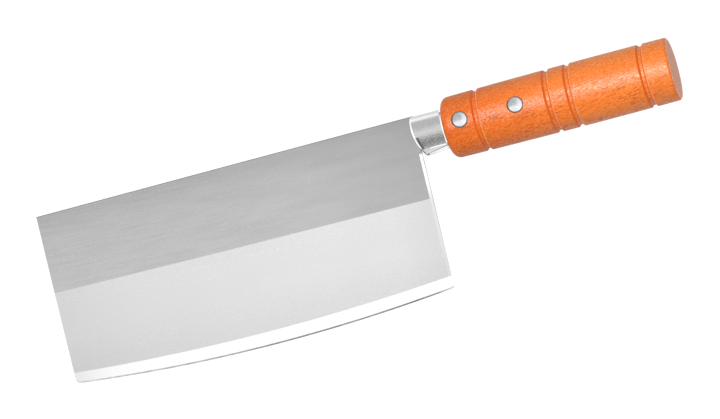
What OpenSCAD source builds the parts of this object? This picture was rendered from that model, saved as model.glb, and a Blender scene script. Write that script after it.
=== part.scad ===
// Chinese cleaver: a tall thin blade with a hidden tang, a steel bolster,
// a turned beech handle and two pairs of cutlery rivets through the tang.
// The knife lies on its side. +X runs from the blade to the butt, +Y from the
// cutting edge to the spine, +Z out of the blade's upper face. The sizes below
// are measured from the middle of the handle's front face.

/* [Blade] */
// Length of the blade along its spine, from the front edge to the heel
blade_length = 197; // [150:1:240]
// Height of the blade at its two ends, from the spine to the cutting edge
blade_height = 84.7; // [70:0.1:110]
// How far the middle of the cutting edge bows out past its two ends
edge_bow = 5.3; // [2:0.1:9]
// How much further forward the front edge reaches at the spine than at the cutting edge
front_lean = 1.2; // [0:0.1:3]
// Thickness of the flat upper part of the blade
blade_thickness = 2; // [1.8:0.1:3.5]
// Height of the spine above the handle's middle line
spine_rise = 10.2; // [9:0.1:11.5]
// Depth of the flat upper part at the blade's front edge
flat_front = 38.8; // [25:0.1:50]
// Depth of the flat upper part at the blade's heel
flat_heel = 40.5; // [25:0.1:50]
// Thickness of the blade where the honed band begins
honed_thickness = 0.9; // [0.6:0.05:1.4]
// Thickness of the blade at the cutting edge itself
edge_thickness = 0.2; // [0.1:0.05:0.4]
// Width of the honed band at the blade's front edge
honed_front = 5.4; // [3.2:0.1:8]
// Width of the honed band at the middle of the blade
honed_middle = 6.8; // [3.2:0.1:12]
// Width of the honed band at the heel
honed_heel = 6; // [3.2:0.1:8]
// Radius of the lower front corner
front_corner = 2; // [0.5:0.1:3]
// Radius of the lower corner at the heel
heel_corner = 1.2; // [0.5:0.1:3]
// Width of the bevel that eases the heel's two long edges
heel_bevel = 1.4; // [0.3:0.1:2]
// Depth of the bevel that eases the heel's two long edges
heel_bevel_depth = 0.3; // [0.1:0.05:0.6]

/* [Tang] */
// Reach of the tang into the handle
tang_reach = 52; // [47:0.5:75]
// Height of the tang at the blade
tang_height = 12; // [9:0.1:14]
// Height of the tang at its tip
tang_tip = 9; // [7:0.1:9]
// Thickness of the tang, and of the blade inside the bolster
tang_thickness = 1.6; // [1.2:0.1:1.7]
// Height of the tang's middle line, and of the rivets, above the handle's middle line
tang_rise = 1.2; // [0:0.1:2]
// Gap all round the tang in its slots
tang_gap = 0.1; // [0.05:0.05:0.3]

/* [Bolster] */
// Length of the bolster from the blade's heel to the handle
bolster_length = 15.1; // [11:0.1:30]
// Height of the bolster
bolster_height = 20.7; // [18.5:0.1:21.5]
// Width of the bolster across the knife
bolster_width = 15; // [13:0.1:17]
// How far the top of the bolster lies below the spine
bolster_drop = 0.4; // [0:0.1:1]
// Radius of the bolster's upper edges
bolster_top_round = 5.4; // [3:0.1:6]
// Radius of the bolster's two bowed side faces
bolster_side_radius = 19.5; // [17:0.5:40]
// Angle of each sloping lower face to the middle plane of the knife
keel_angle = 48; // [44:1:60]
// Radius of the rounded line on which the two lower faces meet
keel_round = 2.5; // [1.5:0.1:4]
// How far the bolster laps over the blade's heel
bolster_lap = 1.4; // [0.4:0.1:2]
// Radius of the bolster's curved end on the blade
bolster_end_radius = 33; // [25:1:60]

/* [Handle] */
// Length of the handle
handle_length = 112.6; // [107:0.1:140]
// Diameter of the handle where it is widest
handle_diameter = 30.7; // [29.5:0.1:34]
// Distance from the handle's front face to its widest point
widest_place = 70; // [64:0.5:82]
// Radius lost by the gentle taper from the widest point to the front face
taper = 0.5; // [0.1:0.05:0.9]
// Radius of the rounded front edge
front_round = 3.5; // [1.5:0.1:4]
// Radius of the rounded butt edge
butt_round = 1.4; // [0.8:0.1:3]
// Height of the slight dome of the butt face
butt_dome = 0.5; // [0.1:0.1:1.5]
// Distance from the front face to the first groove
groove_1 = 17.3; // [15.3:0.1:22]
// Distance from the front face to the second groove
groove_2 = 52.7; // [47:0.1:56]
// Distance from the front face to the third groove
groove_3 = 63.2; // [60:0.1:68]
// Distance from the front face to the fourth groove
groove_4 = 99; // [82:0.1:100]
// Width of each groove, with its rounded lips
groove_width = 3.3; // [2:0.1:4]
// Depth of each groove
groove_depth = 1; // [0.4:0.1:1.5]

/* [Rivets] */
// Distance from the front face to the front rivet
rivet_front = 9.4; // [8.5:0.1:10.2]
// Distance from the front face to the rear rivet
rivet_rear = 37; // [27:0.1:42]
// Diameter of a rivet's head
head_diameter = 7.6; // [6:0.1:8]
// Thickness of a head at its rim
head_rim = 1.1; // [0.8:0.1:1.6]
// Height of a head's dome above its rim
head_dome = 0.35; // [0.1:0.05:0.6]
// Outer diameter of the rivet's hollow half
barrel_diameter = 4.8; // [4:0.1:5.2]
// Diameter of the rivet's solid shank
shank_diameter = 3; // [2:0.1:3.4]
// Gap round the shank inside the hollow half
shank_gap = 0.03; // [0.02:0.01:0.1]
// Gap round the hollow half in the wood and in the tang
barrel_gap = 0.1; // [0.05:0.05:0.2]
// Gap round a head in its counterbore
head_gap = 0.2; // [0.1:0.05:0.3]
// Free depth between a rivet half's end and what faces it
end_gap = 1.5; // [0.5:0.1:3]

/* [Hidden] */
$fn = 96;

steel = [0.76, 0.77, 0.78];
bolster_steel = [0.66, 0.67, 0.68];
beech = [0.91, 0.42, 0.14];
rivet_metal = [0.82, 0.83, 0.85];

// Places along the knife, from the handle's front face
heel_x = -bolster_length;
front_x = heel_x - blade_length;
edge_front_x = front_x + front_lean;
middle_x = (heel_x + edge_front_x) / 2;
end_y = spine_rise - blade_height;
handle_radius = handle_diameter / 2;
groove_places = [groove_1, groove_2, groove_3, groove_4];

// The model's origin: the middle of the knife's outline, at the height of the
// lowest line of the handle
origin_x = (handle_length + front_x) / 2;
origin_y = (max(handle_radius, spine_rise) + end_y - edge_bow) / 2;

// How far a cutting tool runs past the surface that it cuts
past = 1;

module placed() {
    translate([-origin_x, -origin_y, handle_radius]) children();
}

// Blade

// Place along the cutting edge as -1 at its front end, 0 in the middle, 1 at the heel
function along(x) = (x - middle_x) / (heel_x - middle_x);

// Height of the cutting edge, of the honed line and of the lower end of the flats
function edge_y(x) = end_y - edge_bow * (1 - pow(along(x), 2));
function honed_width(x) = honed_middle + (honed_heel - honed_front) / 2 * along(x)
    + ((honed_heel + honed_front) / 2 - honed_middle) * pow(along(x), 2);
function honed_y(x) = edge_y(x) + honed_width(x);
function flat_y(x) = spine_rise - (flat_front + flat_heel) / 2
    + (flat_front - flat_heel) / 2 * along(x);

// How much a rounded corner of radius r lifts the edge at a distance d from the end
function corner_lift(d, r) = d >= r ? 0 : r - sqrt(r * r - pow(r - d, 2));
function outline_y(x) = edge_y(x) + corner_lift(x - edge_front_x, front_corner)
    + corner_lift(heel_x - x, heel_corner);

corner_steps = 6;
edge_steps = 36;
edge_start = edge_front_x + front_corner;
edge_stop = heel_x - heel_corner;
edge_places = concat(
    [for (i = [0 : corner_steps]) edge_start - front_corner * cos(90 * i / corner_steps)],
    [for (i = [1 : edge_steps - 1]) edge_start + (edge_stop - edge_start) * i / edge_steps],
    [for (i = [0 : corner_steps]) edge_stop + heel_corner * sin(90 * i / corner_steps)]);

module blade_outline() {
    polygon(concat(
        [[heel_x, spine_rise], [front_x, spine_rise]],
        [for (x = edge_places) [x, outline_y(x)]]));
}

module tang_outline() {
    polygon([
        [heel_x - past, tang_rise - tang_height / 2],
        [rivet_front, tang_rise - tang_height / 2],
        [tang_reach, tang_rise - tang_tip / 2],
        [tang_reach, tang_rise + tang_tip / 2],
        [rivet_front, tang_rise + tang_height / 2],
        [heel_x - past, tang_rise + tang_height / 2]]);
}

// What the grinding wheel takes off one face: a wide shallow bevel from the flat
// down to the honed line, and a steeper one from there to the cutting edge
grind_columns = 24;
function grind_x(i) = front_x - past + (blade_length + 2 * past) * i / grind_columns;
function bevel_slope(x) =
    (blade_thickness - honed_thickness) / 2 / (flat_y(x) - honed_y(x));
function honed_slope(x) = (honed_thickness - edge_thickness) / 2 / honed_width(x);
function grind_section(x) = [
    [x, flat_y(x) + past, blade_thickness / 2 + past * bevel_slope(x)],
    [x, honed_y(x), honed_thickness / 2],
    [x, edge_y(x) - past, edge_thickness / 2 - past * honed_slope(x)],
    [x, edge_y(x) - past, blade_thickness],
    [x, flat_y(x) + past, blade_thickness]];

module grind() {
    rows = 5;
    points = [for (i = [0 : grind_columns]) each grind_section(grind_x(i))];
    sides = [for (i = [0 : grind_columns - 1], k = [0 : rows - 1])
        let (a = i * rows + k, b = i * rows + (k + 1) % rows)
        each [[a, b, b + rows], [a, b + rows, a + rows]]];
    first_end = [[for (k = [0 : rows - 1]) rows - 1 - k]];
    last_end = [[for (k = [0 : rows - 1]) grind_columns * rows + k]];
    polyhedron(points, concat(sides, first_end, last_end));
}

module heel_bevels() {
    for (side = [-1, 1])
        translate([heel_x, bolster_foot + keel_round, side * blade_thickness / 2]) rotate([90, 0, 0])
            linear_extrude(blade_height + edge_bow)
                polygon([[-heel_bevel, 0], [past, -side * heel_bevel_depth * (1 + past / heel_bevel)],
                         [past, side * past], [-heel_bevel, side * past]]);
}

module rivet_holes(radius) {
    for (x = [rivet_front, rivet_rear])
        translate([x, tang_rise, -handle_radius - past])
            cylinder(r = radius, h = handle_diameter + 2 * past);
}

// Both faces are cut back where the bolster laps over the heel
module bolster_seats() {
    for (side = [0, 1]) mirror([0, 0, side]) translate([end_middle[0], end_middle[1], tang_thickness / 2])
        cylinder(r = bolster_end_radius + tang_gap, h = blade_thickness);
}

module blade() {
    color(steel) placed() difference() {
        union() {
            linear_extrude(blade_thickness, center = true) blade_outline();
            linear_extrude(tang_thickness, center = true) tang_outline();
        }
        grind();
        mirror([0, 0, 1]) grind();
        heel_bevels();
        bolster_seats();
        rivet_holes(barrel_diameter / 2 + barrel_gap);
    }
}

// Bolster

bolster_top = spine_rise - bolster_drop;
bolster_foot = bolster_top - bolster_height;
// Centre of the arc that the bolster's end follows on the blade
end_middle = [heel_x - bolster_lap + bolster_end_radius, bolster_top - bolster_height / 4];
// Height at which the bolster is widest
bow_y = bolster_top - 3 * bolster_height / 8;
// Height at which the planes of the lower faces are as far apart as the bolster is wide
keel_y = bolster_foot + keel_round * (1 - sin(keel_angle))
    + (bolster_width / 2 - keel_round * cos(keel_angle)) / tan(keel_angle);

// The long arc that one side face of the bolster follows
module side_face_disc(side) {
    translate([bow_y, side * (bolster_width / 2 - bolster_side_radius)])
        circle(r = bolster_side_radius, $fn = 360);
}

// The bolster's section, across the knife: first number along Y, second along Z
module bolster_section() {
    intersection() {
        hull() {
            for (side = [-1, 1])
                translate([bolster_top - bolster_top_round,
                           side * (bolster_width / 2 - bolster_top_round)])
                    circle(r = bolster_top_round, $fn = 48);
            polygon([[keel_y, -bolster_width / 2], [keel_y, bolster_width / 2], [bow_y, 0]]);
            translate([bolster_foot + keel_round, 0]) circle(r = keel_round, $fn = 48);
        }
        side_face_disc(1);
        side_face_disc(-1);
    }
}

module bolster() {
    color(bolster_steel) placed() difference() {
        intersection() {
            translate([heel_x - bolster_lap, 0, 0]) rotate([90, 0, 90])
                linear_extrude(bolster_length + bolster_lap) bolster_section();
            translate([end_middle[0], end_middle[1], -bolster_width])
                cylinder(r = bolster_end_radius, h = 2 * bolster_width, $fn = 360);
        }
        // Slot for the tang, all the way through
        translate([heel_x - bolster_lap - past, tang_rise - tang_height / 2 - tang_gap,
                   -tang_thickness / 2 - tang_gap])
            cube([bolster_length + bolster_lap + 2 * past, tang_height + 2 * tang_gap,
                  tang_thickness + 2 * tang_gap]);
        // Slot for the heel of the blade, open above and below
        translate([heel_x - bolster_lap - past, bolster_foot - past,
                   -tang_thickness / 2 - tang_gap])
            cube([bolster_lap + past, bolster_height + 2 * past,
                  tang_thickness + 2 * tang_gap]);
    }
}

// Handle

// Radius of the handle's long barrel shape, and how deep the grooves cut into it
function barrel_radius(x) =
    handle_radius - taper * pow((x - widest_place) / widest_place, 2);
function groove_cut(x) = max([for (place = groove_places)
    abs(x - place) < groove_width / 2
        ? groove_depth / 2 * (1 + cos(360 * (x - place) / groove_width)) : 0]);

groove_steps = 12;
stretch_steps = 6;
dome_steps = 5;
front_arc = [for (i = [0 : corner_steps]) let (a = 90 * i / corner_steps)
    [front_round * (1 - sin(90 - a)), barrel_radius(front_round) - front_round * (1 - sin(a))]];
butt_arc = [for (i = [0 : corner_steps]) let (a = 90 * i / corner_steps)
    [handle_length - butt_dome - butt_round * (1 - cos(a)),
     barrel_radius(handle_length - butt_dome - butt_round) - butt_round * (1 - cos(90 - a))]];
stretch_starts = concat([front_round], [for (g = groove_places) g + groove_width / 2]);
stretch_ends = concat([for (g = groove_places) g - groove_width / 2],
                      [handle_length - butt_dome - butt_round]);
barrel_places = concat(
    [for (s = [0 : len(stretch_starts) - 1], i = [1 : stretch_steps - 1])
        stretch_starts[s] + (stretch_ends[s] - stretch_starts[s]) * i / stretch_steps],
    [for (g = groove_places, i = [0 : groove_steps]) g + groove_width * (i / groove_steps - 0.5)],
    [widest_place]);

function sorted(list) = len(list) < 2 ? list : let (pivot = list[floor(len(list) / 2)])
    concat(sorted([for (v = list) if (v < pivot) v]), [pivot],
           sorted([for (v = list) if (v > pivot) v]));

module handle_body() {
    rotate([90, 0, 90]) rotate_extrude() polygon(concat([[0, 0]],
        [for (p = front_arc) [p[1], p[0]]],
        [for (x = sorted(barrel_places)) [barrel_radius(x) - groove_cut(x), x]],
        [for (i = [corner_steps : -1 : 0]) [butt_arc[i][1], butt_arc[i][0]]],
        [for (i = [1 : dome_steps]) let (r = butt_arc[0][1] * (1 - i / dome_steps))
            [r, handle_length - butt_dome * pow(r / butt_arc[0][1], 2)]]));
}

module tang_slot() {
    linear_extrude(tang_thickness + 2 * tang_gap, center = true) intersection() {
        translate([-past, -handle_radius])
            square([tang_reach + tang_gap + past, handle_diameter]);
        polygon([
            [-past, tang_rise - tang_height / 2 - tang_gap],
            [rivet_front, tang_rise - tang_height / 2 - tang_gap],
            [tang_reach + past, tang_rise - tang_tip / 2 - tang_gap],
            [tang_reach + past, tang_rise + tang_tip / 2 + tang_gap],
            [rivet_front, tang_rise + tang_height / 2 + tang_gap],
            [-past, tang_rise + tang_height / 2 + tang_gap]]);
    }
}

// Height above the blade's middle plane of the wood over a rivet, and of the head's seat
function crest_z(x) = sqrt(pow(barrel_radius(x), 2) - pow(tang_rise, 2));
function seat_z(x) = crest_z(x) - head_dome - head_rim;

module counterbores() {
    for (x = [rivet_front, rivet_rear], side = [0, 1]) mirror([0, 0, side])
        translate([x, tang_rise, seat_z(x)])
            cylinder(r = head_diameter / 2 + head_gap, h = handle_radius);
}

module handle() {
    color(beech) placed() difference() {
        handle_body();
        tang_slot();
        rivet_holes(barrel_diameter / 2 + barrel_gap);
        counterbores();
    }
}

// Rivets

dome_radius = (pow(head_diameter / 2, 2) + pow(head_dome, 2)) / (2 * head_dome);

// A head that stands on its seat, with its domed top upwards
module head() {
    rotate_extrude() intersection() {
        square([head_diameter / 2, head_rim + head_dome]);
        translate([0, head_rim + head_dome - dome_radius]) circle(r = dome_radius, $fn = 720);
    }
}

// The hollow half, with its head on the upper side of the knife
module rivet_socket(x) {
    depth = 2 * seat_z(x) - end_gap;
    color(rivet_metal) placed() translate([x, tang_rise, seat_z(x)]) difference() {
        union() {
            head();
            translate([0, 0, -depth]) cylinder(d = barrel_diameter, h = depth);
        }
        translate([0, 0, -depth - past])
            cylinder(r = shank_diameter / 2 + shank_gap, h = depth + past - end_gap);
    }
}

// The solid half, with its head on the lower side of the knife
module rivet_pin(x) {
    reach = 2 * seat_z(x) - 2 * end_gap;
    color(rivet_metal) placed() mirror([0, 0, 1]) translate([x, tang_rise, seat_z(x)]) union() {
        head();
        translate([0, 0, -reach]) cylinder(d = shank_diameter, h = reach);
    }
}

blade();
bolster();
handle();
rivet_socket(rivet_front);  // front_rivet_socket
rivet_pin(rivet_front);  // front_rivet_pin
rivet_socket(rivet_rear);  // rear_rivet_socket
rivet_pin(rivet_rear);  // rear_rivet_pin
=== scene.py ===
"""Looks of a Chinese cleaver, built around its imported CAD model.

Sizes are in millimetres from the middle of the handle's front face, as in the
CAD source: +X to the butt, +Y to the spine, +Z out of the blade's upper face.
metres() takes them to the frame that the CAD model is in.
"""
import math

import bmesh
import bpy
from mathutils import Matrix, Vector


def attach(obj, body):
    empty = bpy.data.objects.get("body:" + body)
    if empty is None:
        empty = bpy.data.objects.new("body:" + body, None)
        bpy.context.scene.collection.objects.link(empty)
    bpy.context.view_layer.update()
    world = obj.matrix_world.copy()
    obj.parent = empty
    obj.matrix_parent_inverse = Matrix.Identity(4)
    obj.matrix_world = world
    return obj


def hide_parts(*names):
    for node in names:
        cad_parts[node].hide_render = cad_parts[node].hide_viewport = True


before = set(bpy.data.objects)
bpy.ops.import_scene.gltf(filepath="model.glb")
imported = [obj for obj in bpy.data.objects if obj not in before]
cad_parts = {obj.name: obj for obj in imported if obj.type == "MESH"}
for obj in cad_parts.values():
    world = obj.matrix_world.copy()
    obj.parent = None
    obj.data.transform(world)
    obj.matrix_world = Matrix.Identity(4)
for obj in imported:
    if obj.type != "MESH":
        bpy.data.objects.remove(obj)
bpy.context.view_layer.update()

BODY = "root"
MM = 0.001
# How far cutters reach, past every face that they cut, and how close together places
# count as one, in millimetres
CUTTER_REACH, NEAR = 25.0, 0.01

# Sizes of the knife, in millimetres
ORIGIN = (49.75, 32.225, 15.35)
BLADE_LENGTH, BLADE_HEIGHT, BLADE_THICKNESS = 197.0, 84.7, 2.0
EDGE_BOW, FRONT_LEAN, SPINE = 5.3, 1.2, 10.2
FLAT_FRONT, FLAT_HEEL = 38.8, 40.5
HONED_THICKNESS, EDGE_THICKNESS = 0.9, 0.2
HONED_FRONT, HONED_MIDDLE, HONED_HEEL = 5.4, 6.8, 6.0
FRONT_CORNER, HEEL_CORNER = 2.0, 1.2
HEEL_BEVEL, HEEL_BEVEL_DEPTH = 1.4, 0.3
TANG_REACH, TANG_HEIGHT, TANG_TIP, TANG_THICKNESS = 52.0, 12.0, 9.0, 1.6
TANG_RISE, TANG_GAP = 1.2, 0.1
BOLSTER_LENGTH, BOLSTER_HEIGHT, BOLSTER_WIDTH = 15.1, 20.7, 15.0
BOLSTER_DROP, TOP_ROUND, SIDE_RADIUS = 0.4, 5.4, 19.5
KEEL_ANGLE, KEEL_ROUND = math.radians(48.0), 2.5
BOLSTER_LAP, END_RADIUS = 1.4, 33.0
HANDLE_LENGTH, HANDLE_RADIUS, WIDEST, TAPER = 112.6, 15.35, 70.0, 0.5
FRONT_ROUND, BUTT_ROUND, BUTT_DOME = 3.5, 1.4, 0.5
GROOVES, GROOVE_WIDTH, GROOVE_DEPTH = (17.3, 52.7, 63.2, 99.0), 3.3, 1.0
RIVETS = {"front": 9.4, "rear": 37.0}
HEAD_RADIUS, HEAD_RIM, HEAD_DOME = 3.8, 1.1, 0.35
BARREL_RADIUS, SHANK_RADIUS = 2.4, 1.5
SHANK_GAP, BARREL_GAP, HEAD_GAP, END_GAP = 0.03, 0.1, 0.2, 1.5

HEEL_X = -BOLSTER_LENGTH
SPINE_FRONT_X = HEEL_X - BLADE_LENGTH
FRONT_X = SPINE_FRONT_X + FRONT_LEAN
MIDDLE_X = (HEEL_X + FRONT_X) / 2
END_Y = SPINE - BLADE_HEIGHT
BOLSTER_TOP = SPINE - BOLSTER_DROP
BOLSTER_FOOT = BOLSTER_TOP - BOLSTER_HEIGHT
HEEL_BEVEL_TOP = BOLSTER_FOOT + KEEL_ROUND
END_MIDDLE = (HEEL_X - BOLSTER_LAP + END_RADIUS, BOLSTER_TOP - BOLSTER_HEIGHT / 4)
BOW_Y = BOLSTER_TOP - 3 * BOLSTER_HEIGHT / 8
# Along Z: the tang's two sides, and the sides of the slots that it sits in
TANG_SIDES = (-TANG_THICKNESS / 2, TANG_THICKNESS / 2)
TANG_SLOT_SIDES = (TANG_SIDES[0] - TANG_GAP, TANG_SIDES[1] + TANG_GAP)


def metres(point):
    """A place of the knife, in millimetres, as a vector in the CAD model's frame."""
    return Vector([(p + o) * MM for p, o in zip(point, ORIGIN)])


def spread(start, end, count):
    """count + 1 numbers, evenly from start to end."""
    return [start + (end - start) * i / count for i in range(count + 1)]


# Camera

# Fitted to the photo: the lens, where the camera stands from the knife, and its turn in
# degrees round X, Y and Z
LENS, SENSOR = 157.058, 36.0
CAMERA_DISTANCE, CAMERA_SLIDE = 1500.0, (44.275, 39.14)
CAMERA_TURN = (-5.5, -13.668, 13.347)
CAMERA_SHIFT = Vector((2.28, 0, 0))
CAMERA_CLIP = (0.05, 20.0)


def make_camera():
    """The photo's camera. The turn takes the knife's axes to the camera's."""
    rx, ry, rz = (math.radians(a) for a in CAMERA_TURN)
    turn = Matrix.Rotation(rz, 3, "Z") @ Matrix.Rotation(rx, 3, "X") @ Matrix.Rotation(ry, 3, "Y")
    back = turn.transposed()
    place = metres(back @ Vector((-CAMERA_SLIDE[0], -CAMERA_SLIDE[1], CAMERA_DISTANCE))
                   + CAMERA_SHIFT)
    data = bpy.data.cameras.new("camera")
    data.lens, data.sensor_width, data.sensor_fit = LENS, SENSOR, "HORIZONTAL"
    data.clip_start, data.clip_end = CAMERA_CLIP
    camera = bpy.data.objects.new("camera", data)
    camera.matrix_world = Matrix.Translation(place) @ back.to_4x4()
    bpy.context.scene.collection.objects.link(camera)
    bpy.context.scene.camera = camera


make_camera()


# Meshes

SHARP_ANGLE = 35.0
# Points closer together and edges shorter than this are merged, in metres
MERGED, SHORTEST = 1e-6, 1e-7
# Segments of the discs that cut the heel's seat for the bolster, the rivets' bores and the
# counterbores of their heads
SEAT_STEPS, BORE_STEPS, HEAD_STEPS = 360, 48, 96


def mesh_object(name, points, faces, slots, materials):
    """An object from points in millimetres and the material slot of each face."""
    mesh = bpy.data.meshes.new(name)
    mesh.from_pydata([metres(p) for p in points], [], faces)
    for material in materials:
        mesh.materials.append(material)
    for polygon, slot in zip(mesh.polygons, slots):
        polygon.material_index = slot
    obj = bpy.data.objects.new(name, mesh)
    bpy.context.scene.collection.objects.link(obj)
    clean(obj)
    return obj


def clean(obj, sharp_angle=SHARP_ANGLE):
    """Merges doubled points and turns the faces outwards. Edges between two finishes, or
    sharper than sharp_angle, stay sharp."""
    bm = bmesh.new()
    bm.from_mesh(obj.data)
    bmesh.ops.remove_doubles(bm, verts=bm.verts, dist=MERGED)
    bmesh.ops.dissolve_degenerate(bm, edges=bm.edges, dist=SHORTEST)
    bmesh.ops.recalc_face_normals(bm, faces=bm.faces)
    limit = math.radians(sharp_angle)
    for face in bm.faces:
        face.smooth = True
    for edge in bm.edges:
        if len(edge.link_faces) == 2:
            a, b = edge.link_faces
            edge.smooth = a.material_index == b.material_index and edge.calc_face_angle(0) < limit
    bm.to_mesh(obj.data)
    bm.free()


def cut(obj, cutters, operation="DIFFERENCE"):
    """Cuts the cutters out of obj, or joins them to it, and deletes them."""
    for cutter in cutters:
        change = obj.modifiers.new("cut", "BOOLEAN")
        change.object, change.operation, change.solver = cutter, operation, "EXACT"
        graph = bpy.context.evaluated_depsgraph_get()
        mesh = bpy.data.meshes.new_from_object(obj.evaluated_get(graph))
        obj.modifiers.clear()
        old, obj.data = obj.data, mesh
        bpy.data.meshes.remove(old)
        spare = cutter.data
        bpy.data.objects.remove(cutter)
        bpy.data.meshes.remove(spare)


def grid_faces(rows, columns, closed=False):
    """Quads of a grid of points listed row by row. In a closed grid each row is a ring."""
    faces = []
    for i in range(rows - 1):
        for k in range(columns if closed else columns - 1):
            start, after = i * columns, (k + 1) % columns
            faces.append((start + k, start + after, start + columns + after, start + columns + k))
    return faces


def lathe(name, profile, axis, materials, slots, segments):
    """Turns a profile of (distance along the axis, radius) round the axis. axis takes
    the two and the angle to a point. The profile starts and ends on the axis."""
    inner = profile[1:-1]
    points = [axis(s, r, 2 * math.pi * k / segments) for s, r in inner for k in range(segments)]
    faces = grid_faces(len(inner), segments, closed=True)
    marks = [slots[i] for i in range(len(inner) - 1) for _ in range(segments)]
    first, last = len(points), len(points) + 1
    points += [axis(*profile[0], 0), axis(*profile[-1], 0)]
    tail = (len(inner) - 1) * segments
    for k in range(segments):
        faces.append((first, (k + 1) % segments, k))
        faces.append((last, tail + k, tail + (k + 1) % segments))
        marks += [slots[0], slots[-1]]
    return mesh_object(name, points, faces, marks, materials)


def prism(name, outline, low, high, materials, slot):
    """A straight prism: outline in X and Y, from low to high along Z."""
    count = len(outline)
    points = [(x, y, z) for z in (low, high) for x, y in outline]
    faces = [tuple(range(count - 1, -1, -1)), tuple(range(count, 2 * count))]
    faces += [(k, (k + 1) % count, count + (k + 1) % count, count + k) for k in range(count)]
    return mesh_object(name, points, faces, [slot] * len(faces), materials)


def disc(centre_x, centre_y, radius, segments):
    """The outline of a circle, for a prism."""
    return [(centre_x + radius * math.cos(2 * math.pi * k / segments),
             centre_y + radius * math.sin(2 * math.pi * k / segments)) for k in range(segments)]


def tang_outline(start, gap=0.0):
    """The tang's outline from start to its tip, or that of a slot that leaves it a gap."""
    root, tip, reach = TANG_HEIGHT / 2 + gap, TANG_TIP / 2 + gap, TANG_REACH + gap
    lower = [(start, -root), (RIVETS["front"], -root), (reach, -tip)]
    return [(x, TANG_RISE + y) for x, y in lower + [(x, -y) for x, y in reversed(lower)]]


# Materials

# Sockets of Blender's colour Mix node
MIX_FACTOR, MIX_A, MIX_B, MIX_RESULT = 0, 6, 7, 2
GRAIN_TURN = (0, 0, -12)
STREAK_TURN = (0, 0, 2)
# Stretches of the knife, in millimetres along X or Y, over which a finish changes its tone. Along
# the satin's heel and height, the ground face, the honed band, the edge strip and the heel's bevel,
# and across the wood's height, that change is painted shade
STREAKS_FADE, SATIN_HEEL, SATIN_HEIGHT = (-140, -50), (-75, -18), (-20, 9)
GROUND_LENGTH, GROUND_HEIGHT = (-208, -18), (-68, -32)
HONED_LENGTH, BURR_AND_SHADOW_LENGTH, BEVEL_HEIGHT = (-212, -160), (-211, -15), (-64, -22)
BLASTED_HEIGHT = (-4, 7)
PALE_LENGTH, FRONT_HALF = (0, 90), (0, 60)
FLECK_HEIGHT, WOOD_HEIGHT = (-4, 3), (-15.3, 15.3)


def fill_ramp(ramp, stops):
    """Sets a colour ramp to the stops: (position, grey or colour)."""
    while len(ramp.elements) < len(stops):
        ramp.elements.new(0.5)
    for element, (position, colour) in zip(ramp.elements, stops):
        element.position = position
        if not hasattr(colour, "__len__"):
            colour = (colour,) * 3
        element.color = (*colour, 1)


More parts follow.
